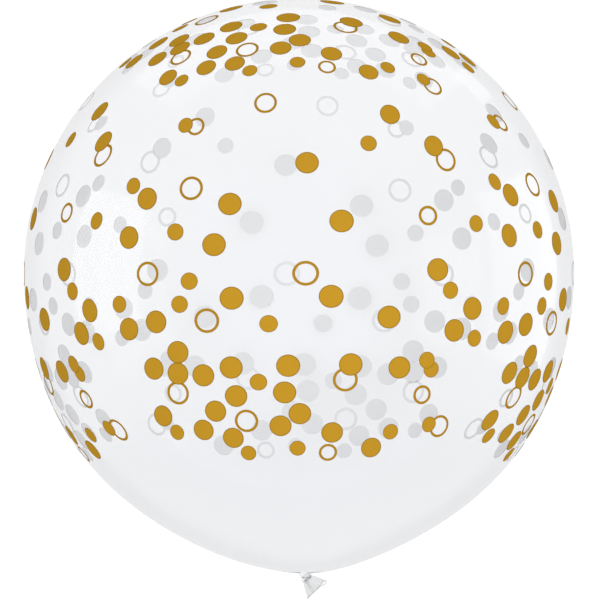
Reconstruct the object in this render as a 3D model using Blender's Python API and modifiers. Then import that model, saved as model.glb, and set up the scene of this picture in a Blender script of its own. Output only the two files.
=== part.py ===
"""A giant round latex balloon, blown up, sealed with a knot in its own neck and lying on its side.

Metres, +Z up. The balloon's own axis runs along Y, level, with the crown at +Y and the knot at -Y.
The origin is the middle of the small flat spot that the balloon rests on, below the widest ring.
"""

import math

import bmesh
import bpy
from mathutils import Matrix, Vector

# The blown-up envelope
DIAMETER = 0.9144  # across the widest ring
NECK_LENGTH = 0.4975  # from the widest ring to where the latex is gathered
NECK_TAPER = 0.22  # share of the width that the pear-shaped end has lost at the neck
NECK_TAPER_POWER = 6.5  # how late that taper sets in
REST_SPOT_RADIUS = 0.050  # flat where the balloon bears on the floor
TURN_STEPS = 72
CROWN_RINGS = 16
NECK_RINGS = 20

# The gathered neck, which leaves the envelope a little beside its axis
NECK_OFFSET = 0.0095
NECK_MOUTH_RADIUS = 0.0108
NECK_WAIST_RADIUS = 0.0062
NECK_SINK = 0.012  # how deep its root lies in the envelope
NECK_STEPS = 24

# The knot: the neck wound once round itself
KNOT_DROP = 0.0083  # from the envelope's end to the knot's middle, along the axis
KNOT_SHIFT = 0.0030  # further sideways than the neck's mouth
LOOP_RADIUS = 0.0066  # of the winding, to the middle of its roll
ROLL_RADIUS = 0.0036
LOOP_LIFT = math.radians(24)  # how far the winding leans up, off the tail's own line
LOOP_STEPS = 24
ROLL_STEPS = 12

# The tail: the flattened end of the neck, fanned out from the knot to its beaded lip
TAIL_HEADING = math.radians(-47)  # from +X, seen from above
TAIL_LENGTH = 0.0256
TAIL_ROOT_WIDTH = 0.0130
TAIL_LIP_WIDTH = 0.0425
TAIL_FLARE_POWER = 0.7
TAIL_ROOT_THICKNESS = 0.0090
TAIL_LIP_THICKNESS = 0.0038
TAIL_SIDES = 32
TAIL_RINGS = 8
PLEATS = 3
PLEAT_DEPTH = 0.0016
BEAD_DIAMETER = 0.0056  # the rolled lips of both sides of the flattened tail, lying together
BEAD_POINTS = 33
BEAD_END_SHARE = 0.45  # of its diameter, left at either end
BEAD_END_POWER = 20  # how near its ends the bead starts to narrow

RADIUS = DIAMETER / 2
AXIS_HEIGHT = math.sqrt(RADIUS**2 - REST_SPOT_RADIUS**2)
MERGE = 1e-5


def new_collection(name):
    collection = bpy.data.collections.new(name)
    bpy.context.scene.collection.children.link(collection)
    return collection


def new_object(name, mesh, collection):
    made = bpy.data.objects.new(name, mesh)
    collection.objects.link(made)
    return made


def mesh_from_bmesh(name, bm):
    mesh = bpy.data.meshes.new(name)
    bmesh.ops.recalc_face_normals(bm, faces=bm.faces)
    bm.to_mesh(mesh)
    bm.free()
    return mesh


def turned(name, profile, steps, collection):
    """An object turned about its own Z from (radius, height) points that run from top to bottom."""
    bm = bmesh.new()
    points = [bm.verts.new((radius, 0, height)) for radius, height in profile]
    for upper, lower in zip(points, points[1:]):
        bm.edges.new((upper, lower))
    mesh = bpy.data.meshes.new(name)
    bm.to_mesh(mesh)
    bm.free()
    made = new_object(name, mesh, collection)
    screw = made.modifiers.new("turn", "SCREW")
    screw.steps = steps
    screw.render_steps = steps
    screw.use_merge_vertices = True
    screw.merge_threshold = MERGE
    return made


def as_helper(made):
    """A shape that only joins or cuts another one, so it isn't a part of its own."""
    made.hide_render = True
    made.display_type = "WIRE"
    return made


def boolean(target, other, operation):
    modifier = target.modifiers.new(f"{operation.lower()} {other.name}", "BOOLEAN")
    modifier.operation = operation
    modifier.solver = "EXACT"
    modifier.object = other


def clear_latex():
    material = bpy.data.materials.new("clear latex")
    material.use_nodes = True
    shader = material.node_tree.nodes["Principled BSDF"]
    shader.inputs["Base Color"].default_value = (0.87, 0.88, 0.89, 1)
    shader.inputs["Roughness"].default_value = 0.12
    shader.inputs["Metallic"].default_value = 0.0
    shader.inputs["IOR"].default_value = 1.52
    shader.inputs["Alpha"].default_value = 0.3
    return material


def crown_profile():
    """A quarter circle, from the top of the crown down to just above the widest ring."""
    for ring in range(CROWN_RINGS):
        angle = math.pi / 2 * ring / CROWN_RINGS
        yield RADIUS * math.sin(angle), RADIUS * math.cos(angle)


def neck_profile():
    """A quarter ellipse that also tapers, from the widest ring down to the gathered neck."""
    for ring in range(NECK_RINGS + 1):
        angle = math.pi / 2 * ring / NECK_RINGS
        depth = math.sin(angle)
        taper = 1 - NECK_TAPER * depth**NECK_TAPER_POWER
        yield RADIUS * math.cos(angle) * taper, -NECK_LENGTH * depth


def make_envelope(collection):
    profile = [*crown_profile(), *neck_profile()]
    envelope = turned("balloon", profile, TURN_STEPS, collection)
    envelope.location = (0, 0, AXIS_HEIGHT)
    envelope.rotation_euler = (-math.pi / 2, 0, 0)  # the turned shape's top becomes +Y
    envelope.data.materials.append(clear_latex())
    return envelope


def make_floor_cutter(collection):
    """A block whose top face is the floor, as wide and deep as the balloon and so longer than the cut."""
    bpy.ops.mesh.primitive_cube_add(size=DIAMETER, location=(0, 0, -DIAMETER / 2))
    cutter = bpy.context.active_object
    cutter.name = "floor cutter"
    for holder in list(cutter.users_collection):
        holder.objects.unlink(cutter)
    collection.objects.link(cutter)
    return as_helper(cutter)


def knot_middle():
    return Vector((NECK_OFFSET + KNOT_SHIFT, -NECK_LENGTH - KNOT_DROP, AXIS_HEIGHT))


def tail_frame():
    """The tail's own axes at the knot's middle: X along the tail, Y across it, Z up."""
    return Matrix.Translation(knot_middle()) @ Matrix.Rotation(TAIL_HEADING, 4, "Z")


def make_neck(collection):
    """The gathered neck, turned about the line from inside the envelope to the knot's middle."""
    root = Vector((NECK_OFFSET, -NECK_LENGTH + NECK_SINK, AXIS_HEIGHT))
    line = root - knot_middle()
    mouth_height = line.length * KNOT_DROP / (KNOT_DROP + NECK_SINK)
    profile = [
        (0, line.length),
        (NECK_MOUTH_RADIUS, line.length),
        (NECK_MOUTH_RADIUS, mouth_height),
        (NECK_WAIST_RADIUS, 0),
        (0, -NECK_WAIST_RADIUS / 2),
    ]
    neck = turned("gathered neck", profile, NECK_STEPS, collection)
    neck.location = knot_middle()
    neck.rotation_mode = "QUATERNION"
    neck.rotation_quaternion = line.to_track_quat("Z", "Y")
    return as_helper(neck)


def make_loop(collection):
    """The winding, a ring round the root of the tail."""
    bpy.ops.mesh.primitive_torus_add(
        major_radius=LOOP_RADIUS,
        minor_radius=ROLL_RADIUS,
        major_segments=LOOP_STEPS,
        minor_segments=ROLL_STEPS,
    )
    loop = bpy.context.active_object
    loop.name = "winding"
    for holder in list(loop.users_collection):
        holder.objects.unlink(loop)
    collection.objects.link(loop)
    lean = Matrix.Rotation(math.pi / 2 - LOOP_LIFT, 4, "Y")  # the ring's axis becomes the tail's line
    loop.matrix_world = tail_frame() @ lean
    return as_helper(loop)


def tail_middle(along, across):
    """A point half way through the tail, in its own frame.

    along is 0 at the knot and 1 at the lip, and across runs from -1 to 1 between its edges.
    """
    width = TAIL_ROOT_WIDTH + (TAIL_LIP_WIDTH - TAIL_ROOT_WIDTH) * along**TAIL_FLARE_POWER
    pleat = PLEAT_DEPTH * along * math.cos(PLEATS * math.pi * across)
    return Vector((TAIL_LENGTH * along, width / 2 * across, pleat))


def tail_skin(along, around):
    """A point of the tail's skin in its own frame, at the angle around its flattened section."""
    thickness = TAIL_ROOT_THICKNESS + (TAIL_LIP_THICKNESS - TAIL_ROOT_THICKNESS) * along
    return tail_middle(along, math.cos(around)) + Vector((0, 0, thickness / 2 * math.sin(around)))


def make_tail(collection):
    """A grid wrapped round into a flattened tube that fans out, with both ends closed."""
    bm = bmesh.new()
    bmesh.ops.create_grid(bm, x_segments=TAIL_RINGS, y_segments=TAIL_SIDES, size=1)
    for vert in bm.verts:
        vert.co = tail_skin((vert.co.x + 1) / 2, math.pi * (vert.co.y + 1))
    bmesh.ops.remove_doubles(bm, verts=bm.verts, dist=MERGE)
    bmesh.ops.holes_fill(bm, edges=bm.edges, sides=0)
    tail = new_object("tail", mesh_from_bmesh("tail", bm), collection)
    tail.matrix_world = tail_frame()
    return as_helper(tail)


def make_bead(collection):
    """The rolled lip, a bar along the tail's wide end, made a mesh so that it can be joined."""
    curve = bpy.data.curves.new("bead", "CURVE")
    curve.dimensions = "3D"
    curve.bevel_depth = BEAD_DIAMETER / 2
    curve.bevel_resolution = 2
    curve.use_fill_caps = True
    spline = curve.splines.new("POLY")
    spline.points.add(BEAD_POINTS - 1)
    for index, point in enumerate(spline.points):
        across = 2 * index / (BEAD_POINTS - 1) - 1
        point.co = (*tail_middle(1, across), 1)
        point.radius = max(BEAD_END_SHARE, (1 - across**BEAD_END_POWER) ** 0.5)
    route = new_object("bead route", curve, collection)
    route.matrix_world = tail_frame()
    bpy.context.view_layer.update()
    mesh = bpy.data.meshes.new_from_object(route.evaluated_get(bpy.context.evaluated_depsgraph_get()))
    bm = bmesh.new()
    bm.from_mesh(mesh)
    bmesh.ops.remove_doubles(bm, verts=bm.verts, dist=MERGE)
    bmesh.ops.recalc_face_normals(bm, faces=bm.faces)
    bm.to_mesh(mesh)
    bm.free()
    bead = new_object("bead", mesh, collection)
    bead.matrix_world = route.matrix_world
    bpy.data.objects.remove(route)
    return as_helper(bead)


for old in list(bpy.data.objects):
    bpy.data.objects.remove(old)
parts = new_collection("giant balloon")
helpers = new_collection("helpers")

balloon = make_envelope(parts)
boolean(balloon, make_floor_cutter(helpers), "DIFFERENCE")
for make_piece in (make_neck, make_loop, make_tail, make_bead):
    boolean(balloon, make_piece(helpers), "UNION")
for piece in [balloon, *helpers.objects]:
    piece.data.shade_smooth()
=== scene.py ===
import math

import bmesh
import bpy
from mathutils import Euler, Matrix, Vector, noise


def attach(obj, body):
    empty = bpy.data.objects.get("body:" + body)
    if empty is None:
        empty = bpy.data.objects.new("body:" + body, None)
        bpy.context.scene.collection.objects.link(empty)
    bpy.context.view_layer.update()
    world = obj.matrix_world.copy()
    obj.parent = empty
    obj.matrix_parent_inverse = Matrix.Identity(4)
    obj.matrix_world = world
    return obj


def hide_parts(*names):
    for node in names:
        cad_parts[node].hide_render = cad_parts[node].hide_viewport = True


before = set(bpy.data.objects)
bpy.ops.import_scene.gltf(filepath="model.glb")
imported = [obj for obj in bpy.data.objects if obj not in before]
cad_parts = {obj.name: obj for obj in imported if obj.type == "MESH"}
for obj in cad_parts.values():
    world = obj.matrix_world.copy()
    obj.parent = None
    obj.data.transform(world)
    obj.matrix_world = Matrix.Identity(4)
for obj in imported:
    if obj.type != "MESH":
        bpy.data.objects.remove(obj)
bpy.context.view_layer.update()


# The blown-up skin
# A giant round balloon, dipped in one piece from clear latex that dries a little milky.
# Air stretches it to a round crown and a pear-shaped neck end. It lies on its side, so the
# floor presses a small flat into it, and below the neck end the latex is gathered for the knot.

WIDEST_RADIUS = 0.4572
NECK_END = 0.4975  # from the widest ring to where the latex is gathered
NECK_TAPER = 0.22
NECK_TAPER_POWER = 6.5
REST_SPOT_RADIUS = 0.050
AXIS_HEIGHT = math.sqrt(WIDEST_RADIUS**2 - REST_SPOT_RADIUS**2)
SKIN_SEGMENTS = 256
SKIN_RINGS = 104


def clear_selection():
    """Leaves object mode with nothing selected."""
    if bpy.context.object and bpy.context.object.mode != "OBJECT":
        bpy.ops.object.mode_set(mode="OBJECT")
    bpy.ops.object.select_all(action="DESELECT")


def just_added(name):
    """The primitive that was just added, renamed, with its place applied to its mesh."""
    made = bpy.context.active_object
    made.name = made.data.name = name
    bpy.ops.object.transform_apply(location=True, rotation=True, scale=True)
    return made


def reshape(piece, moved):
    """Moves every point of the piece's mesh to moved(point)."""
    for vert in piece.data.vertices:
        vert.co = moved(vert.co.copy())
    piece.data.update()


def select_verts(piece, wanted):
    """In edit mode: selects the points that wanted(point) is true for, and nothing else."""
    bpy.ops.mesh.select_mode(type="VERT")
    bpy.ops.mesh.select_all(action="DESELECT")
    bm = bmesh.from_edit_mesh(piece.data)
    for vert in bm.verts:
        vert.select_set(wanted(vert.co))
    bm.select_flush(True)
    bmesh.update_edit_mesh(piece.data)


def skin_radius(along):
    """The skin's radius round the balloon's axis, at a distance along it from the widest ring."""
    if along >= 0:
        return math.sqrt(max(0.0, WIDEST_RADIUS**2 - along**2))
    depth = min(1.0, -along / NECK_END)
    taper = 1 - NECK_TAPER * depth**NECK_TAPER_POWER
    return WIDEST_RADIUS * math.sqrt(1 - depth**2) * taper


def pear(point):
    """Turns a point of the starting sphere into one of the pear-shaped skin, still round its axis."""
    if point.y >= 0:
        return point
    depth = min(1.0, -point.y / WIDEST_RADIUS)
    taper = 1 - NECK_TAPER * depth**NECK_TAPER_POWER
    return Vector((point.x * taper, -NECK_END * depth, point.z * taper))


clear_selection()
bpy.ops.mesh.primitive_uv_sphere_add(
    segments=SKIN_SEGMENTS, ring_count=SKIN_RINGS, radius=WIDEST_RADIUS, rotation=(math.pi / 2, 0, 0)
)
skin = just_added("skin")
reshape(skin, pear)

# The neck end is opened at its pole and drawn out in rings that shrink towards the knot, each
# pleated a little deeper than the last, and the skin round it puckers.

NECK_OFFSET = 0.0095
NECK_WAIST = 0.0060
KNOT_DROP = 0.0083
KNOT_SHIFT = 0.0030
NECK_STATIONS = 10
NECK_PLEATS = 11
PLEAT_SHARE = 0.16  # of the neck's radius, at the waist
NECK_FLARE_POWER = 0.8  # how early the rings shrink
PUCKER_DEPTH = 0.0007
FINE_PUCKERS = 0.5  # depth of the finer ones between them, beside theirs
PUCKER_REACH = 0.030
SHIFT_REACH = 0.085  # how far round the neck the skin is drawn over with it

neck_mouth = skin_radius(-NECK_END * math.cos(math.pi / SKIN_RINGS))


def drawn_to_neck(point):
    """Draws the skin round the neck sideways with it, in fine radial puckers."""
    from_axis = math.hypot(point.x, point.z)
    if point.y > 0 or from_axis > 3 * SHIFT_REACH:
        return point
    beyond = max(0.0, from_axis - neck_mouth)
    shift = NECK_OFFSET * math.exp(-((beyond / SHIFT_REACH) ** 2))
    angle = math.atan2(point.z, point.x)
    ripple = math.cos(NECK_PLEATS * angle) + FINE_PUCKERS * math.cos(2 * NECK_PLEATS * angle + 1)
    pucker = PUCKER_DEPTH * math.exp(-beyond / PUCKER_REACH) * ripple
    return Vector((point.x + shift, point.y + pucker, point.z))


bpy.ops.object.mode_set(mode="EDIT")
select_verts(skin, lambda co: co.y < -NECK_END + 1e-6)
bpy.ops.mesh.delete(type="VERT")
select_verts(skin, lambda co: co.y < 0 and math.hypot(co.x, co.z) < neck_mouth * 1.01)
for station in range(1, NECK_STATIONS + 1):
    bpy.ops.mesh.extrude_region()
    share = station / NECK_STATIONS
    was_shift = KNOT_SHIFT * (station - 1) / NECK_STATIONS
    radius = neck_mouth + (NECK_WAIST - neck_mouth) * share**NECK_FLARE_POWER
    bm = bmesh.from_edit_mesh(skin.data)
    for vert in bm.verts:
        if vert.select:
            angle = math.atan2(vert.co.z, vert.co.x - was_shift)
            pleated = radius * (1 + PLEAT_SHARE * share * math.cos(NECK_PLEATS * angle))
            vert.co.x = pleated * math.cos(angle) + KNOT_SHIFT * share
            vert.co.z = pleated * math.sin(angle)
            vert.co.y = -NECK_END - KNOT_DROP * math.sin(share * math.pi / 2)
    bmesh.update_edit_mesh(skin.data)
bpy.ops.mesh.merge(type="CENTER")
bpy.ops.object.mode_set(mode="OBJECT")
reshape(skin, drawn_to_neck)

# It is laid down, and the floor's plane cuts the flat that it rests on.

bpy.ops.object.mode_set(mode="EDIT")
bpy.ops.mesh.select_all(action="SELECT")
bpy.ops.transform.translate(value=(0, 0, AXIS_HEIGHT))
bpy.ops.mesh.bisect(plane_co=(0, 0, 0), plane_no=(0, 0, 1), use_fill=True, clear_inner=True)
bpy.ops.mesh.select_all(action="SELECT")
bpy.ops.mesh.normals_make_consistent(inside=False)
bpy.ops.object.mode_set(mode="OBJECT")
bpy.ops.object.shade_smooth()


class Wire:
    """One output of a node in a material. Sums on it add Math nodes to the same material."""

    def __init__(self, finish, output):
        self.finish = finish
        self.output = output

    def maths(self, operation, *values):
        return self.finish.node("ShaderNodeMath", {"operation": operation}, dict(enumerate(values)))

    def __add__(self, other):
        return self.maths("ADD", self, other)

    def __sub__(self, other):
        return self.maths("SUBTRACT", self, other)

    def __rsub__(self, other):
        return self.maths("SUBTRACT", other, self)

    def __mul__(self, other):
        return self.maths("MULTIPLY", self, other)

    def __pow__(self, other):
        return self.maths("POWER", self, other)

    __radd__ = __add__
    __rmul__ = __mul__


class Finish:
    """A material of one Principled shader. Its other nodes are added by node()."""

    def __init__(self, name):
        self.material = bpy.data.materials.new(name)
        self.material.use_nodes = True
        self.tree = self.material.node_tree
        self.shader = self.tree.nodes["Principled BSDF"]

    def feed(self, node, inputs):
        for socket, value in inputs.items():
            if isinstance(value, Wire):
                self.tree.links.new(value.output, node.inputs[socket])
            else:
                node.inputs[socket].default_value = value

    def node(self, kind, settings=None, inputs=None, output=0):
        """Adds a node of this kind: first its settings, then its sockets' values or links."""
        node = self.tree.nodes.new(kind)
        for name, value in (settings or {}).items():
            setattr(node, name, value)
        self.feed(node, inputs or {})
        return Wire(self, node.outputs[output])

    def mixed(self, share, first, second):
        """A colour between two colours."""
        return self.node(
            "ShaderNodeMix", {"data_type": "RGBA"}, {0: share, 6: first, 7: second}, output=2
        )

    def ramped(self, wire, start, end):
        """Rises smoothly from 0 to 1 as the wire goes from start to end."""
        return self.node(
            "ShaderNodeMapRange",
            {"interpolation_type": "SMOOTHSTEP"},
            {"Value": wire, "From Min": start, "From Max": end},
        )

    def wear(self, piece):
        """Gives the piece this finish alone."""
        piece.data.materials.clear()
        piece.data.materials.append(self.material)


FILM_ALPHA = 0.15
# Painted light: the film's tint is painted lighter towards the crown, where more light falls, and a
# milky cloud of random tone takes a share of that change.
FILM_CROWN_PAINTED_LIGHT = (0.51, 0.53, 0.60, 1)
FILM_NECK = (0.38, 0.42, 0.50, 1)
FILM_THICK_AND_SHADE = (0.03, 0.07, 0.18, 1)
CLOUD_SHARE = 0.25  # of the change between the crown's tint and the neck's
CROWN_LIGHT_ALONG = (-0.45, 0.30)
# The film is painted darker, as painted shade, towards the knot, where it is also thicker as it was
# stretched less, up to where it is pinched. It is also painted darker where it is seen edge on,
# except at the top of the crown; a real film is only a little denser there. Each has its share, and
# the places along the balloon or the facing of Layer Weight between which it comes in.
NECK_THICK_AND_SHADE = 0.42
NECK_THICK_AND_SHADE_ALONG = (-0.17, -0.33)
PINCHED_ALONG = (-0.4965, -0.4880)
NECK_EDGE_SHADE = 0.58
NECK_EDGE_SHADE_FACING = (0.65, 0.75)
NECK_EDGE_SHADE_ALONG = (-0.08, -0.22)
ROUND_EDGE_SHADE = 0.5
ROUND_EDGE_SHADE_FACING = (0.58, 0.80)
ROUND_EDGE_SHADE_ALONG = (0.42, 0.32)

film = Finish("blown-up clear latex")
place = film.node("ShaderNodeTexCoord", output="Object")
cloud = film.node("ShaderNodeTexNoise", inputs={"Vector": place, "Scale": 3.5, "Detail": 3.0})
grain = film.node("ShaderNodeTexNoise", inputs={"Vector": place, "Scale": 120.0, "Detail": 2.0})
relief = film.node(
    "ShaderNodeBump", inputs={"Strength": 0.05, "Distance": 0.0005, "Height": cloud + 0.2 * grain}
)
along = film.node("ShaderNodeSeparateXYZ", inputs={"Vector": place}, output="Y")
facing = film.node("ShaderNodeLayerWeight", inputs={"Blend": 0.5}, output="Facing")
# painted light towards the crown, mixed with the random milky cloud
cloud_and_crown_light = CLOUD_SHARE * cloud + (1 - CLOUD_SHARE) * film.ramped(along, *CROWN_LIGHT_ALONG)
# painted shade where the film is seen edge on, with more of it towards the neck
round_edge_shade = film.ramped(facing, *ROUND_EDGE_SHADE_FACING) * film.ramped(along, *ROUND_EDGE_SHADE_ALONG)
neck_edge_shade = film.ramped(facing, *NECK_EDGE_SHADE_FACING) * film.ramped(along, *NECK_EDGE_SHADE_ALONG)
near_neck_shade = NECK_THICK_AND_SHADE * film.ramped(along, *NECK_THICK_AND_SHADE_ALONG) + NECK_EDGE_SHADE * neck_edge_shade
# all the painted shade, with thicker latex towards the neck, lighter again where the neck is pinched
thickness = near_neck_shade * film.ramped(along, *PINCHED_ALONG) + ROUND_EDGE_SHADE * round_edge_shade
film.feed(
    film.shader,
    {
        "Base Color": film.mixed(
            thickness, film.mixed(cloud_and_crown_light, FILM_NECK, FILM_CROWN_PAINTED_LIGHT), FILM_THICK_AND_SHADE
        ),
        "Roughness": 0.09 + 0.05 * cloud,
        "IOR": 1.52,
        "Alpha": FILM_ALPHA,
        "Normal": relief,
    },
)
film.wear(skin)

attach(skin, "root")
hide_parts("balloon")


# The gold print
# Opaque gold ink, screened on the slack latex and stretched with it: large dots, small dots and
# rings. One stamp of it is laid out below. It was put on four sides, and its lower half twice on
# the crown.

LARGE_DOT = 0.0394
SMALL_DOT = 0.0297
RING = 0.0375  # across the middle of its line
SMALL_RING = 0.0297
RING_LINE = 0.0048
DOT_SIDES = 24
RING_SIDES = 32
DOT_RIM = 0.10  # share of a dot's radius where the ink lies thicker and darker
RING_THICKNESS = 0.2  # of its ink, beside a dot's rim
# How far off the skin the ink lies outside it and within it, so that the skin's flat facets stay
# clear of it, and how much higher each of three dots that overlap is.
DOT_HEIGHTS = (0.00024, -0.00009)
RING_HEIGHTS = (0.00013, -0.00009)
OVERLAP_STEP = 0.00003
SLOPE_STEP = 0.0001  # along the skin, over which its slope is taken

# Places on the stamp in centimetres, to the right of its middle and towards the crown from the
# widest ring, as they lie on the blown-up balloon when it is looked at square on.
LARGE_PLACES = (
    (15.3, 26.2), (22.5, 21.0), (1.7, 18.2), (-24.7, 12.3), (-11.0, 11.4), (7.4, 8.6),
    (-27.7, 5.9), (-13.6, 4.7), (23.2, 0.6), (5.7, -3.8), (-10.7, -4.1), (28.9, -5.8),
    (15.2, -7.2), (-23.2, -8.0), (-27.7, -9.2), (25.9, -9.4), (-19.6, -13.0), (8.9, -15.0),
    (-1.4, -15.2), (-10.8, -15.5), (16.9, -15.5), (-23.6, -15.7), (-19.6, -16.5), (-15.4, -16.8),
    (-2.0, -19.6), (-10.0, -20.2), (-13.4, -22.7), (0.5, -23.1), (-22.1, -23.5), (-2.7, -25.1),
    (-15.4, -25.8), (5.8, -26.2), (-10.5, -27.1), (12.2, -28.7),
)
SMALL_PLACES = (
    (-18.4, 24.4), (11.8, 21.4), (-27.0, 14.4), (29.5, 8.2), (-20.0, 6.8), (-17.7, -1.3),
    (25.3, -2.8), (-19.3, -5.1), (-29.3, -5.1), (-4.6, -8.3), (29.2, -10.7), (21.4, -14.3),
    (22.1, -15.8), (-6.3, -17.9), (21.7, -24.9), (15.4, -26.1), (-19.8, -26.2), (0.1, -28.8),
    (-8.0, -29.6),
)
RING_PLACES = (
    (-5.2, 28.1), (24.5, 18.7), (-17.4, 14.0), (1.5, 0.0), (-24.6, -0.1), (-14.8, -7.8),
    (8.0, -17.5), (-19.6, -19.7), (-8.3, -24.3), (23.4, -25.2),
)
SMALL_RING_PLACES = (
    (-16.7, 24.2), (21.6, 9.5), (20.6, -20.0), (5.1, -29.5),
)

# The stamps round the balloon: the bearings of the left and the right half of each, from straight
# up towards +X, and whether it lies on a side, where the latex was drawn out further.
ROUND_STAMPS = (
    (math.radians(-0.5), math.radians(-0.5), False),
    (math.radians(88.2), math.radians(92.1), True),
    (math.radians(180.7), math.radians(180.7), False),
    (math.radians(-89.4), math.radians(-89.4), True),
)
# The crown has the lower half of the stamp twice, foot up above and foot down below.
CROWN_TURN = (math.radians(2.3), math.radians(-0.2), math.radians(0.4))
CROWN_BEARINGS = (0, math.radians(181.9))
CROWN_EDGE = -0.01  # places further up than this are left off the crown

# How far the latex was drawn out at a stamp's middle, how that changes away from the middle to
# either side, and how it changes towards the ends: for places and for marks, each first round
# the balloon and then along it.
TOP_PLACES = ((1, 0, 0), (1, 0, 0))
TOP_MARKS = ((1.06, -0.14, -0.41), (0.97, -0.02, 0.10))
SIDE_PLACES = ((1.06, -0.14, 0.10), (1.06, 0, -0.11))
SIDE_MARKS = ((1.18, -0.50, -0.45), (1.00, 0, -0.10))
CROWN_PLACES = ((1.03, -0.13, -0.13), (1.03, -0.13, -0.13))
CROWN_MARKS = ((1.05, -0.33, -0.42), (1.07, -0.02, -0.36))
MARK_SKEW = 0.28  # of a mark away from its stamp's two middle lines, but not on the crown


def new_dot(name, diameter):
    """A flat dot with a narrow rim."""
    clear_selection()
    inner = diameter / 2 * (1 - DOT_RIM)
    bpy.ops.mesh.primitive_circle_add(vertices=DOT_SIDES, radius=inner, fill_type="TRIFAN")
    dot = just_added(name)
    bpy.ops.object.mode_set(mode="EDIT")
    select_verts(dot, lambda co: co.length > inner / 2)
    bpy.ops.mesh.extrude_region()
    widen = 1 / (1 - DOT_RIM)
    bpy.ops.transform.resize(value=(widen, widen, 1), center_override=(0, 0, 0))
    bpy.ops.object.mode_set(mode="OBJECT")
    return dot


def new_ring(name, diameter, line):
    """A flat ring."""
    clear_selection()
    inner = (diameter - line) / 2
    bpy.ops.mesh.primitive_circle_add(vertices=RING_SIDES, radius=inner, fill_type="NOTHING")
    ring = just_added(name)
    bpy.ops.object.mode_set(mode="EDIT")
    bpy.ops.mesh.select_all(action="SELECT")
    bpy.ops.mesh.extrude_region()
    widen = (diameter + line) / (diameter - line)
    bpy.ops.transform.resize(value=(widen, widen, 1), center_override=(0, 0, 0))
    bpy.ops.object.mode_set(mode="OBJECT")
    return ring


def mark_rim(piece, rim_radius, thickness):
    """Stores how thick the ink is beyond a radius of a dot or ring, for its finish."""
    rim = piece.data.attributes.new("rim", "FLOAT", "POINT")
    for index, vert in enumerate(piece.data.vertices):
        rim.data[index].value = thickness if vert.co.length > rim_radius else 0.0
    for face in piece.data.polygons:
        face.use_smooth = True
    return piece


large_dot = mark_rim(new_dot("large dot", LARGE_DOT), LARGE_DOT / 2 * (1 - DOT_RIM / 2), 1)
small_dot = mark_rim(new_dot("small dot", SMALL_DOT), SMALL_DOT / 2 * (1 - DOT_RIM / 2), 1)
ring = mark_rim(new_ring("ring", RING, RING_LINE), 0, RING_THICKNESS)
small_ring = mark_rim(new_ring("small ring", SMALL_RING, RING_LINE), 0, RING_THICKNESS)
PRINT = (
    (large_dot, LARGE_PLACES, DOT_HEIGHTS),
    (small_dot, SMALL_PLACES, DOT_HEIGHTS),
    (ring, RING_PLACES, RING_HEIGHTS),
    (small_ring, SMALL_RING_PLACES, RING_HEIGHTS),
)


def onto_skin(point):
    """The nearest point of the skin and its outward normal, round the balloon's axis."""
    if point.y >= 0:
        normal = point.normalized()
        return normal * WIDEST_RADIUS, normal
    slope = (skin_radius(point.y + SLOPE_STEP) - skin_radius(point.y - SLOPE_STEP)) / (2 * SLOPE_STEP)
    outward = Vector((point.x, 0, point.z)).normalized()
    normal = (outward - Vector((0, slope, 0))).normalized()
    return outward * skin_radius(point.y) + Vector((0, point.y, 0)), normal


def frame_at(middle, normal, right):
    """A mark's own axes on the skin: X to its right, Y towards its top, Z outwards."""
    across = (right - normal * right.dot(normal)).normalized()
    turned = Matrix((across, normal.cross(across), normal)).transposed()
    return Matrix.Translation(middle) @ turned.to_4x4()


def drawn_out(x, y, stretch):
    """How far the latex was drawn out at a place on the stamp."""
    middle, sideways, endways = stretch
    return middle + sideways * (x / WIDEST_RADIUS) ** 2 + endways * (y / WIDEST_RADIUS) ** 2


def round_place(bearing, places, marks, x, y):
    """Where a mark of a stamp lies on the balloon, and how it is stretched, round and along."""
    out = Vector((math.sin(bearing), 0, math.cos(bearing)))
    right = Vector((math.cos(bearing), 0, -math.sin(bearing)))
    across, along = x * drawn_out(x, y, places[0]), y * drawn_out(x, y, places[1])
    depth = math.sqrt(skin_radius(along) ** 2 - across**2)
    middle, normal = onto_skin(right * across + out * depth + Vector((0, along, 0)))
    to_skin = frame_at(middle, normal, Vector((normal.z, 0, -normal.x)))
    return to_skin, [drawn_out(x, y, stretch) for stretch in marks]


def crown_place(bearing, x, y):
    """The same for a mark on the crown."""
    across, up = x * drawn_out(x, y, CROWN_PLACES[0]), -y * drawn_out(x, y, CROWN_PLACES[1])
    flat = Vector((across, math.sqrt(WIDEST_RADIUS**2 - across**2 - up**2), up))
    turn = Matrix.Rotation(bearing, 3, "Y")
    middle, normal = onto_skin(turn @ Euler(CROWN_TURN).to_matrix() @ flat)
    to_skin = frame_at(middle, normal, turn @ Vector((1, 0, 0)))
    return to_skin, [drawn_out(x, y, stretch) for stretch in CROWN_MARKS]


def stamped():
    """Every mark of all stamps: its template, heights off the skin, lift, skew, place and stretch."""
    for template, places, heights in PRINT:
        for index, (x_cm, y_cm) in enumerate(places):
            x, y = x_cm / 100, y_cm / 100
            lift = OVERLAP_STEP * (index % 3)
            skew = MARK_SKEW * x * y / WIDEST_RADIUS**2
            for left_half, right_half, on_side in ROUND_STAMPS:
                bearing = right_half if x > 0 else left_half
                drawn = (SIDE_PLACES, SIDE_MARKS) if on_side else (TOP_PLACES, TOP_MARKS)
                yield template, heights, lift, skew, *round_place(bearing, *drawn, x, y)
            if y < CROWN_EDGE:
                for bearing in CROWN_BEARINGS:
                    yield template, heights, lift, 0, *crown_place(bearing, x, y)


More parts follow.
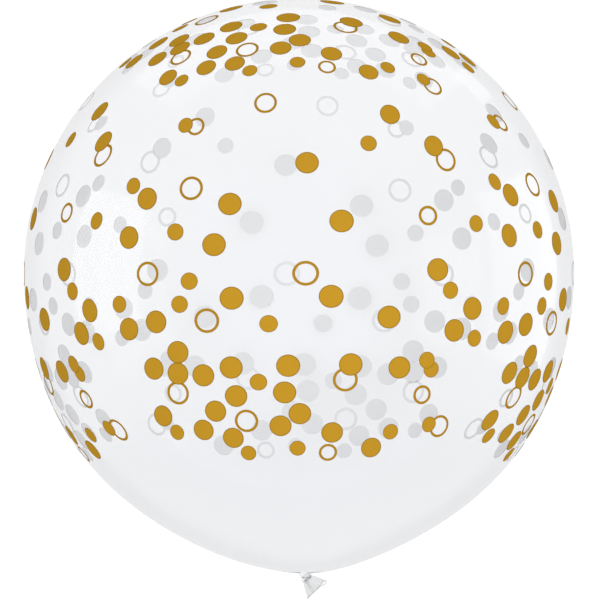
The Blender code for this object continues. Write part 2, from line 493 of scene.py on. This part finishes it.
def printed(name, inside):
    """All marks as one piece, on the outer or the inner face of the skin."""
    clear_selection()
    for template, heights, lift, skew, to_skin, (wide, long) in stamped():
        height = heights[1] - lift if inside else heights[0] + lift
        mark = template.copy()
        mark.data = template.data.copy()
        bpy.context.collection.objects.link(mark)
        for vert in mark.data.vertices:
            across, along = vert.co.x, vert.co.y
            flat = Vector((across * wide + along * skew, along * long + across * skew, 0))
            on_skin, normal = onto_skin(to_skin @ flat)
            lifted = Vector((on_skin.x, on_skin.y, max(0.0, on_skin.z + AXIS_HEIGHT)))
            vert.co = lifted + normal * height
        mark.select_set(True)
    bpy.context.view_layer.objects.active = mark
    bpy.ops.object.join()
    mark.name = mark.data.name = name
    if inside:
        bpy.ops.object.mode_set(mode="EDIT")
        bpy.ops.mesh.select_all(action="SELECT")
        bpy.ops.mesh.flip_normals()
        bpy.ops.object.mode_set(mode="OBJECT")
    return mark


GOLD = (0.478, 0.257, 0.019, 1)
GOLD_LIGHT = (0.508, 0.275, 0.022, 1)
GOLD_RIM = (0.26, 0.14, 0.008, 1)
RIM_POWER = 0.5  # how early thicker ink darkens

gold_print = printed("gold_print", inside=False)
gold = Finish("gold ink")
place = gold.node("ShaderNodeTexCoord", output="Object")
blotch = gold.node("ShaderNodeTexNoise", inputs={"Vector": place, "Scale": 45.0, "Detail": 3.0})
rim = gold.node("ShaderNodeAttribute", {"attribute_name": "rim"}, output="Fac")
gold.feed(
    gold.shader,
    {
        "Base Color": gold.mixed(rim**RIM_POWER, gold.mixed(blotch, GOLD, GOLD_LIGHT), GOLD_RIM),
        "Roughness": 0.50 + 0.12 * blotch,
        "IOR": 1.5,
        "Specular IOR Level": 0.0,
        "Normal": gold.node(
            "ShaderNodeBump", inputs={"Strength": 0.1, "Distance": 0.0002, "Height": blotch}
        ),
    },
)
gold.wear(gold_print)

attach(gold_print, "root")
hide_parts("balloon")


# The back of the print
# The same ink seen from inside the balloon, through the latex, where it looks a pale, flat grey.
# It lies just within the skin and has its faces turned inwards.

BACK_GREY = (0.795, 0.795, 0.795, 1)
BACK_GREY_THIN = (0.825, 0.825, 0.825, 1)
# Painted light: it is painted paler round the sides and at both ends, where less light falls on it.
# Each has its share, and the distances from the balloon's level or the places along it between which
# it comes in.
BACK_PAINTED_LIGHT = (1.0, 1.0, 1.0, 1)
PAINTED_LIGHT_SIDES = 0.8
PAINTED_LIGHT_SIDES_LEVEL = (0.26, 0.04)
PAINTED_LIGHT_CROWN = 0.6
PAINTED_LIGHT_CROWN_ALONG = (0.15, 0.38)
PAINTED_LIGHT_NECK = 0.2
PAINTED_LIGHT_NECK_ALONG = (-0.10, -0.30)

print_back = printed("print_back", inside=True)
back = Finish("back of the ink")
place = back.node("ShaderNodeTexCoord", output="Object")
thin = back.node("ShaderNodeTexNoise", inputs={"Vector": place, "Scale": 25.0, "Detail": 2.0})
rim = back.node("ShaderNodeAttribute", {"attribute_name": "rim"}, output="Fac")
along = back.node("ShaderNodeSeparateXYZ", inputs={"Vector": place}, output="Y")
above = back.node("ShaderNodeSeparateXYZ", inputs={"Vector": place}, output="Z") - AXIS_HEIGHT
from_level = above.maths("ABSOLUTE", above)
# painted light, paler at the crown, round the sides and at the neck end
painted_light_crown = PAINTED_LIGHT_CROWN * back.ramped(along, *PAINTED_LIGHT_CROWN_ALONG)
painted_light_ends = painted_light_crown + PAINTED_LIGHT_NECK * back.ramped(along, *PAINTED_LIGHT_NECK_ALONG)
painted_light = PAINTED_LIGHT_SIDES * back.ramped(from_level, *PAINTED_LIGHT_SIDES_LEVEL) + painted_light_ends
grey = back.mixed(0.5 * thin + 0.5 * rim, BACK_GREY, BACK_GREY_THIN)
back.feed(
    back.shader,
    {
        "Base Color": back.mixed(painted_light, grey, BACK_PAINTED_LIGHT),
        "Roughness": 0.55 + 0.1 * thin,
        "IOR": 1.5,
        "Specular IOR Level": 0.0,
    },
)
back.wear(print_back)
for template, places, heights in PRINT:
    bpy.data.objects.remove(template)

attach(print_back, "root")
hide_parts("balloon")


# The knot
# The slack neck, wound once round itself and drawn tight by hand. It is many layers of latex
# thick there, so it is whiter than the skin, and creases run slantwise round its roll.

KNOT_MIDDLE = (NECK_OFFSET + KNOT_SHIFT, -NECK_END - KNOT_DROP, AXIS_HEIGHT)
TAIL_HEADING = math.radians(-47)  # from +X, seen from above
LOOP_RADIUS = 0.0066
ROLL_RADIUS = 0.0036
LOOP_LIFT = math.radians(24)
LOOP_STEPS = 112
ROLL_STEPS = 40
ROLL_CREASES = 5
CREASE_TURNS = 3
CREASE_WANDER = 1.4
CREASE_DEPTH = 0.00072
CREASE_SHARPNESS = 4
ROLL_SWELL = 0.0008
SWELL_BEARING = 2.4
LUMP_HEIGHT = 0.0004
LUMP_SCALE = 420


def wrung(point):
    """Creases the winding slantwise, and swells it on the side where the neck goes under it."""
    bearing = math.atan2(point.y, point.x)
    middle = Vector((math.cos(bearing), math.sin(bearing), 0)) * LOOP_RADIUS
    from_middle = point - middle
    turn = math.atan2(from_middle.z, from_middle.dot(middle.normalized()))
    wander = CREASE_WANDER * math.sin(bearing + 0.7)
    slant = ROLL_CREASES * turn + CREASE_TURNS * bearing + wander
    crease = -CREASE_DEPTH * (0.5 + 0.5 * math.cos(slant)) ** CREASE_SHARPNESS
    lump = LUMP_HEIGHT * noise.noise(point * LUMP_SCALE)
    swell = ROLL_SWELL * math.cos(bearing - SWELL_BEARING)
    return middle + from_middle.normalized() * (from_middle.length + crease + swell + lump)


clear_selection()
bpy.ops.mesh.primitive_torus_add(
    major_radius=LOOP_RADIUS,
    minor_radius=ROLL_RADIUS,
    major_segments=LOOP_STEPS,
    minor_segments=ROLL_STEPS,
)
knot = just_added("knot")
reshape(knot, wrung)
knot.rotation_euler = (0, math.pi / 2 - LOOP_LIFT, TAIL_HEADING)
knot.location = KNOT_MIDDLE
bpy.ops.object.transform_apply(location=True, rotation=True, scale=True)
bpy.ops.object.shade_smooth()

GATHERED_ALPHA = 0.20
GATHERED_PALE = (0.66, 0.665, 0.68, 1)
GATHERED_GREY = (0.42, 0.425, 0.44, 1)
# Painted shade, down in a fold.
GATHERED_FOLD_SHADE = (0.02, 0.02, 0.03, 1)  # down in a fold


def gathered_latex(name, alpha):
    """Slack latex with fine wrinkles, with painted shade where a piece's points are marked as in a
    fold, where the latex also lies double.
    """
    finish = Finish(name)
    place = finish.node("ShaderNodeTexCoord", output="Object")
    folds = finish.node(
        "ShaderNodeTexNoise", inputs={"Vector": place, "Scale": 260.0, "Detail": 4.0}
    )
    shade = finish.node(
        "ShaderNodeTexNoise", inputs={"Vector": place, "Scale": 110.0, "Detail": 2.0}
    )
    fold = finish.node("ShaderNodeAttribute", {"attribute_name": "fold"}, output="Fac")
    grey = finish.mixed(shade, GATHERED_PALE, GATHERED_GREY)
    finish.feed(
        finish.shader,
        {
            "Base Color": finish.mixed(fold, grey, GATHERED_FOLD_SHADE),
            "Roughness": 0.24 + 0.12 * folds,
            "IOR": 1.52,
            "Alpha": alpha,
            "Normal": finish.node(
                "ShaderNodeBump", inputs={"Strength": 0.35, "Distance": 0.0003, "Height": folds}
            ),
        },
    )
    return finish


gathered_latex("gathered latex", GATHERED_ALPHA).wear(knot)

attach(knot, "root")
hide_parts("balloon")


# The tail
# The rest of the neck, a slack thin-walled tube that lies flat below the knot and fans out to its
# mouth. The knot pinches it into pleats, one of them deep.

TAIL_LENGTH = 0.0256
TAIL_ROOT_WIDTH = 0.0130
TAIL_LIP_WIDTH = 0.0425
TAIL_FLARE_POWER = 0.7
TAIL_ROOT_THICKNESS = 0.0090
TAIL_LIP_THICKNESS = 0.0038
TAIL_WALL = 0.0004
TAIL_SIDES = 144
TAIL_STATIONS = 28
PLEATS = 3
PLEAT_DEPTH = 0.0016
FOLD_PLACE = -0.36  # between the tail's edges, which are at -1 and 1
FOLD_WIDTH = 0.18
FOLD_DEPTH = 0.0034
FOLD_START = 0.25  # how far in the fold's length the knot comes
WRINKLE_DEPTH = 0.0003
WRINKLES = 17
WRINKLE_WANDER = 5
WRINKLE_FADE = 0.6  # share of their depth that is lost at the mouth
MOUTH_GAP = 0.0050  # how far the mouth's two lips lie apart at the tail's upper corner
MOUTH_GAP_PLACE = 0.55  # angle round the mouth from that corner
MOUTH_GAP_REACH = 0.50

tail_axes = Matrix.Translation(KNOT_MIDDLE) @ Matrix.Rotation(TAIL_HEADING, 4, "Z")


def mark_fold_shade(piece, depth):
    """Stores how deep in a fold each point of the piece lies, from 0 to 1, for the painted shade of
    its finish.
    """
    fold = piece.data.attributes.new("fold", "FLOAT", "POINT")
    for index, vert in enumerate(piece.data.vertices):
        fold.data[index].value = depth(vert.co)


def fold_share(along, across):
    """How much of the deep pleat there is at a place on the tail."""
    return math.exp(-(((across - FOLD_PLACE) / FOLD_WIDTH) ** 2)) * math.sqrt(1 - along)


def tail_point(along, around):
    """A point of the tail's wall: along from 0 at the knot to 1 at the mouth, around in radians."""
    across = math.cos(around)
    width = TAIL_ROOT_WIDTH + (TAIL_LIP_WIDTH - TAIL_ROOT_WIDTH) * along**TAIL_FLARE_POWER
    thickness = TAIL_ROOT_THICKNESS + (TAIL_LIP_THICKNESS - TAIL_ROOT_THICKNESS) * along
    pleat = PLEAT_DEPTH * along * math.cos(PLEATS * math.pi * across)
    fold_bow = math.sin(math.pi * min(1, FOLD_START + along))
    fold = -FOLD_DEPTH * fold_share(along, across) * fold_bow
    wave = math.sin(WRINKLES * across + 2 * math.sin(WRINKLE_WANDER * across))
    wrinkle = WRINKLE_DEPTH * (1 - WRINKLE_FADE * along) * wave
    gap_here = math.exp(-(((abs(around) - MOUTH_GAP_PLACE) / MOUTH_GAP_REACH) ** 2))
    gap = -MOUTH_GAP * math.sin(around) * gap_here * along**3
    return Vector(
        (
            TAIL_LENGTH * along + gap,
            width / 2 * across,
            pleat + fold + wrinkle + thickness / 2 * math.sin(around),
        )
    )


def wrapped_tail(point):
    """Wraps a point of the plain tube, which is TAIL_STATIONS long, into the tail."""
    return tail_axes @ tail_point(point.z / TAIL_STATIONS, math.atan2(point.y, point.x))


clear_selection()
bpy.ops.mesh.primitive_circle_add(vertices=TAIL_SIDES, radius=1, fill_type="NOTHING")
tail = just_added("tail")
bpy.ops.object.mode_set(mode="EDIT")
bpy.ops.mesh.select_all(action="SELECT")
for station in range(TAIL_STATIONS):
    bpy.ops.mesh.extrude_region()
    bpy.ops.transform.translate(value=(0, 0, 1))
bpy.ops.object.mode_set(mode="OBJECT")
# painted shade in the deep pleat, by how deep in it each point lies
mark_fold_shade(tail, lambda co: fold_share(co.z / TAIL_STATIONS, co.x))
reshape(tail, wrapped_tail)
bpy.ops.object.mode_set(mode="EDIT")
bpy.ops.mesh.select_all(action="SELECT")
bpy.ops.mesh.normals_make_consistent(inside=False)
bpy.ops.object.mode_set(mode="OBJECT")
wall = tail.modifiers.new("wall", "SOLIDIFY")
wall.thickness = TAIL_WALL
wall.offset = -1
bpy.ops.object.modifier_apply(modifier=wall.name)
bpy.ops.object.shade_smooth()

TAIL_ALPHA = 0.17
slack = gathered_latex("slack latex", TAIL_ALPHA)
slack.wear(tail)

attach(tail, "root")
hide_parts("balloon")


# The rolled lip
# The mouth of the neck, rolled back on itself while the latex was wet, so that it is a thick ring.
# It follows the flattened mouth round, with its two sides lying together along most of it.

LIP_RADIUS = 0.0013
LIP_STEPS = 160
LIP_SIDES = 16
LIP_TURNS = 9  # wavering of its thickness round the mouth
LIP_WAVER = 0.12
PLAIN_ROLL = 0.1  # of the ring of radius 1 that it starts as
LOOK_AHEAD = 0.01  # round the mouth in radians, over which its direction is taken


def rolled(point):
    """Wraps a point of the plain ring round the tail's mouth."""
    around = math.atan2(point.y, point.x)
    here = tail_point(1, around)
    ahead = (tail_point(1, around + LOOK_AHEAD) - tail_point(1, around - LOOK_AHEAD)).normalized()
    up = (Vector((0, 0, 1)) - ahead * ahead.z).normalized()
    side = up.cross(ahead)
    radius = LIP_RADIUS * (1 + LIP_WAVER * math.sin(LIP_TURNS * around))
    out = (math.hypot(point.x, point.y) - 1) / PLAIN_ROLL
    return tail_axes @ (here + side * out * radius + up * point.z / PLAIN_ROLL * radius)


clear_selection()
bpy.ops.mesh.primitive_torus_add(
    major_radius=1, minor_radius=PLAIN_ROLL, major_segments=LIP_STEPS, minor_segments=LIP_SIDES
)
lip = just_added("rolled_lip")
reshape(lip, rolled)
bpy.ops.object.mode_set(mode="EDIT")
bpy.ops.mesh.select_all(action="SELECT")
bpy.ops.mesh.normals_make_consistent(inside=False)
bpy.ops.object.mode_set(mode="OBJECT")
bpy.ops.object.shade_smooth()
slack.wear(lip)

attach(lip, "root")
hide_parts("balloon")


# The floor, the light and the camera
# A plain white floor that is a little lit from within, as a light table is, so that no hard shadow
# falls on it. A wide soft light hangs overhead, and low panels stand round the balloon for gloss.

FLOOR_SIZE = 60
FLOOR_DROP = 0.0006  # below the ink on the balloon's underside
FLOOR_GREY = (0.30, 0.30, 0.30, 1)
FLOOR_GLOW = 0.78
SKY = (1.0, 1.0, 1.0, 1)
SKY_STRENGTH = 0.58
SKY_BELOW = 0.2  # share of it that comes from straight below
SKY_BELOW_ENDS = (-0.86, -0.60)  # how far a direction points down, between which that share comes in
BACKDROP = 1.0  # as bright as the sky looks to the camera
OVERHEAD_STRENGTH = 2.03
OVERHEAD_TILT = (math.radians(3), math.radians(7), 0)  # so that it comes from the right
OVERHEAD_ANGLE = math.radians(150)

clear_selection()
bpy.ops.mesh.primitive_plane_add(size=FLOOR_SIZE, location=(0, 0, -FLOOR_DROP))
floor = just_added("floor")
table = Finish("white floor")
table.feed(
    table.shader,
    {
        "Base Color": FLOOR_GREY,
        "Roughness": 1.0,
        "Specular IOR Level": 0.0,
        "Emission Color": (1, 1, 1, 1),
        "Emission Strength": FLOOR_GLOW,
    },
)
table.wear(floor)
floor.visible_diffuse = False
floor.visible_glossy = False


class Sky(Finish):
    """The light from all round, with its nodes added as a material's are."""

    def __init__(self, name):
        self.world = bpy.data.worlds.new(name)
        self.world.use_nodes = True
        self.tree = self.world.node_tree
        self.shader = self.tree.nodes["Background"]


sky = Sky("soft sky")
direction = sky.node("ShaderNodeTexCoord", output="Generated")
upward = sky.node("ShaderNodeSeparateXYZ", inputs={"Vector": direction}, output="Z")
seen = sky.node("ShaderNodeLightPath", output="Is Camera Ray")
light = SKY_STRENGTH * (SKY_BELOW + (1 - SKY_BELOW) * sky.ramped(upward, *SKY_BELOW_ENDS))
sky.feed(sky.shader, {"Color": SKY, "Strength": light + (BACKDROP - light) * seen})
bpy.context.scene.world = sky.world

overhead = bpy.data.lights.new("overhead light", "SUN")
overhead.energy = OVERHEAD_STRENGTH
overhead.angle = OVERHEAD_ANGLE
stand = bpy.data.objects.new("overhead light", overhead)
bpy.context.collection.objects.link(stand)
stand.rotation_euler = OVERHEAD_TILT
stand.visible_glossy = False

# Each panel: its middle, its width and height in metres, and how bright it is beside the floor.
PANELS = {
    "left panel": ((-1.4, 0.10, 0.75), 1.0, 0.9, 6.0),
    "right panel": ((0.95, 0.02, 0.42), 0.8, 0.75, 4.8),
    "crown panel": ((0.0, 0.85, 0.35), 1.4, 0.66, 2.4),
    "corner panel": ((0.57, 0.62, 0.16), 0.14, 0.20, 3.0),
}
for name, (middle, width, height, brightness) in PANELS.items():
    panel = bpy.data.lights.new(name, "AREA")
    panel.shape = "RECTANGLE"
    panel.size = width
    panel.size_y = height
    panel.energy = brightness * math.pi * width * height
    stand = bpy.data.objects.new(name, panel)
    bpy.context.collection.objects.link(stand)
    stand.location = middle
    to_balloon = Vector((0, 0, AXIS_HEIGHT)) - Vector(middle)
    stand.rotation_euler = to_balloon.to_track_quat("-Z", "Y").to_euler()
    stand.visible_camera = False
    stand.visible_diffuse = False

# The camera looks straight down from far off, as the photograph shows hardly any perspective.
VIEW_WIDTH = 0.9966  # that the picture takes in, at the height of the balloon's axis
VIEW_MIDDLE = (0.0017, -0.0440)
LENS = 1600
SENSOR = 36

photographer = bpy.data.cameras.new("photographer")
photographer.lens = LENS
photographer.sensor_width = SENSOR
photographer.clip_end = 200
camera = bpy.data.objects.new("photographer", photographer)
bpy.context.collection.objects.link(camera)
camera.location = (*VIEW_MIDDLE, AXIS_HEIGHT + VIEW_WIDTH * LENS / SENSOR)
bpy.context.scene.camera = camera
bpy.context.scene.view_settings.view_transform = "Standard"
